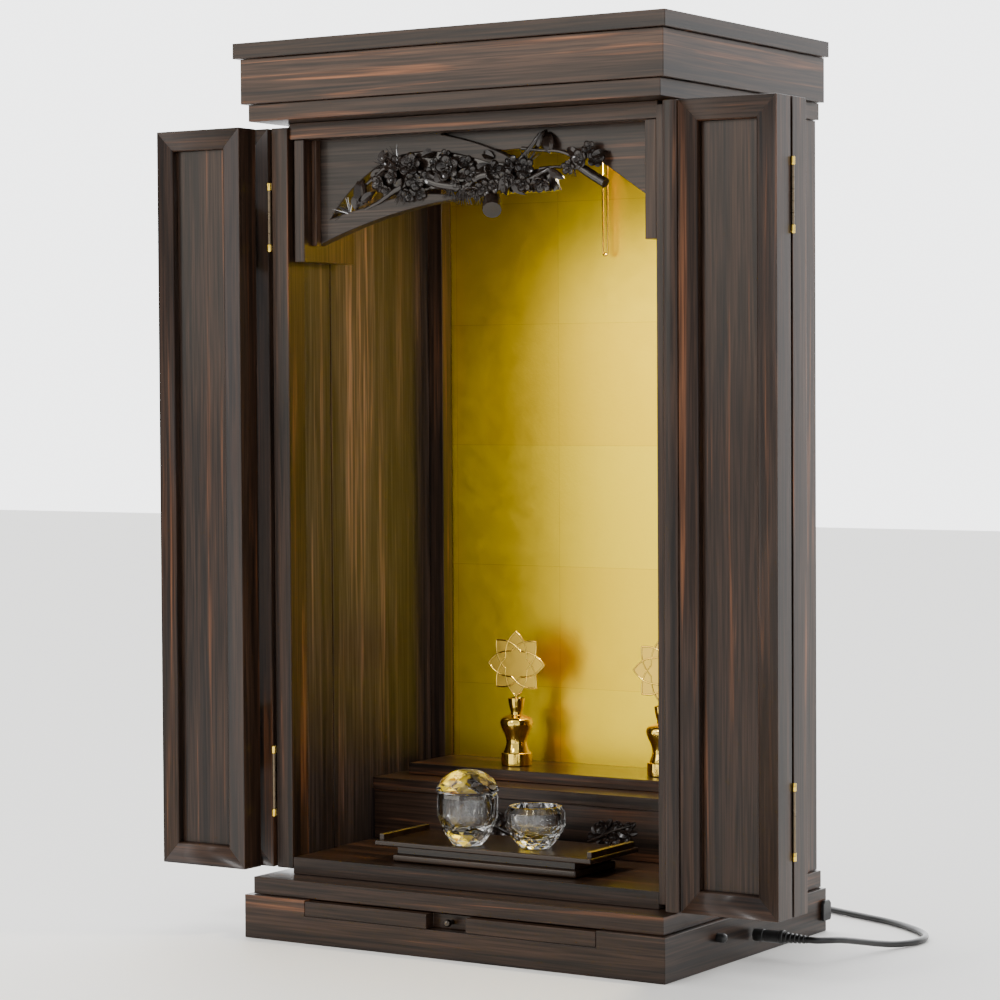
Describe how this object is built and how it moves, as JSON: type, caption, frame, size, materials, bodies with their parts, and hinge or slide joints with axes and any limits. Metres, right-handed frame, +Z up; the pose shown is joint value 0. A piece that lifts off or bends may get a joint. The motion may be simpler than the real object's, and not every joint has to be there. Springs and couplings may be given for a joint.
{
  "type": "household altar cabinet",
  "caption": "Table-top household altar cabinet in dark straight-grained wood, standing open, with bi-fold doors, a carved transom, a gold-leaf back, a pull-out board and its altar fittings.",
  "frame": {"origin": "middle of the underside of the cabinet, measured without the power lead", "axes": "+X to the right as seen from the front, +Y to the back, +Z up; the doors open towards -Y"},
  "size_m": [0.6084, 0.397, 0.76],
  "materials": {
    "ebony_wood": "satin lacquer over dark straight-grained veneer",
    "lacquer_tray": "polished dark lacquer with gilt edges",
    "gold_leaf": "gold leaf laid in squares",
    "brass": "polished brass",
    "gilt": "mirror-polished gilding",
    "crystal": "clear cut crystal",
    "dark_chrome": "dark polished metal",
    "black_plastic": "moulded satin plastic",
    "black_rubber": "smooth cord sheath"
  },
  "bodies": {
    "cabinet": {"top_slab": "ebony_wood", "cornice_fascia": "ebony_wood", "cornice_moulding": "ebony_wood", "side_panel_left": "ebony_wood", "hinge_post_left": "ebony_wood", "rear_pillar_left": "ebony_wood", "side_panel_right": "ebony_wood", "hinge_post_right": "ebony_wood", "rear_pillar_right": "ebony_wood", "back_panel": "ebony_wood", "gold_leaf_panel": "gold_leaf", "upper_base": "ebony_wood", "lower_base": "ebony_wood", "floor_slab": "ebony_wood", "lower_shelf": "ebony_wood", "upper_board": "ebony_wood", "riser_front": "ebony_wood", "riser_side_left": "ebony_wood", "riser_side_right": "ebony_wood", "scroll_hanger": "gilt", "header_rail": "ebony_wood", "cheek_left": "ebony_wood", "cheek_right": "ebony_wood", "transom_batten": "ebony_wood", "transom": "ebony_wood", "post_hinge_upper_left": "brass", "post_hinge_lower_left": "brass", "post_hinge_upper_right": "brass", "post_hinge_lower_right": "brass", "power_inlet": "black_plastic", "side_knob": "black_plastic", "cord_plug": "black_plastic", "strain_relief": "black_rubber", "cord": "black_rubber", "cord_coil": "black_rubber", "mains_plug": "black_plastic", "lotus_vase_left": "gilt", "lotus_flower_left": "gilt", "lotus_vase_right": "gilt", "lotus_flower_right": "gilt", "offering_tray": "lacquer_tray", "crystal_cup": "crystal", "crystal_cup_lid": "crystal", "crystal_bowl": "crystal"},
    "pull_out": {"pull_out_board": "ebony_wood", "pull_out_knob": "dark_chrome"},
    "left_inner_leaf": {"inner_door_left_frame": "ebony_wood", "inner_door_left_panel": "ebony_wood", "fold_hinge_upper_left": "brass", "fold_hinge_lower_left": "brass"},
    "left_outer_leaf": {"outer_door_left_frame": "ebony_wood", "outer_door_left_panel": "ebony_wood"},
    "right_inner_leaf": {"inner_door_right_frame": "ebony_wood", "inner_door_right_panel": "ebony_wood", "fold_hinge_upper_right": "brass", "fold_hinge_lower_right": "brass"},
    "right_outer_leaf": {"outer_door_right_frame": "ebony_wood", "outer_door_right_panel": "ebony_wood", "meeting_strip": "ebony_wood"}
  },
  "joints": [
    {"name": "left_door_hinge", "type": "hinge", "parent": "cabinet", "child": "left_inner_leaf", "pos_m": [-0.199, -0.106, 0.37325], "axis": [0, 0, 1], "range_deg": [0, 180]},
    {"name": "left_fold_hinge", "type": "hinge", "parent": "left_inner_leaf", "child": "left_outer_leaf", "pos_m": [-0.302, -0.106, 0.37325], "axis": [0, 0, 1], "range_deg": [-180, 0]},
    {"name": "right_door_hinge", "type": "hinge", "parent": "cabinet", "child": "right_inner_leaf", "pos_m": [0.199, -0.106, 0.37325], "axis": [0, 0, -1], "range_deg": [0, 180]},
    {"name": "right_fold_hinge", "type": "hinge", "parent": "right_inner_leaf", "child": "right_outer_leaf", "pos_m": [0.302, -0.106, 0.37325], "axis": [0, 0, -1], "range_deg": [-180, 0]},
    {"name": "pull_out_slide", "type": "slide", "parent": "cabinet", "child": "pull_out", "axis": [0, -1, 0], "range_m": [0, 0.15]}
  ],
  "couplings": [
    {"joint": "left_fold_hinge", "follows": "left_door_hinge", "ratio": -1},
    {"joint": "right_fold_hinge", "follows": "right_door_hinge", "ratio": -1}
  ]
}
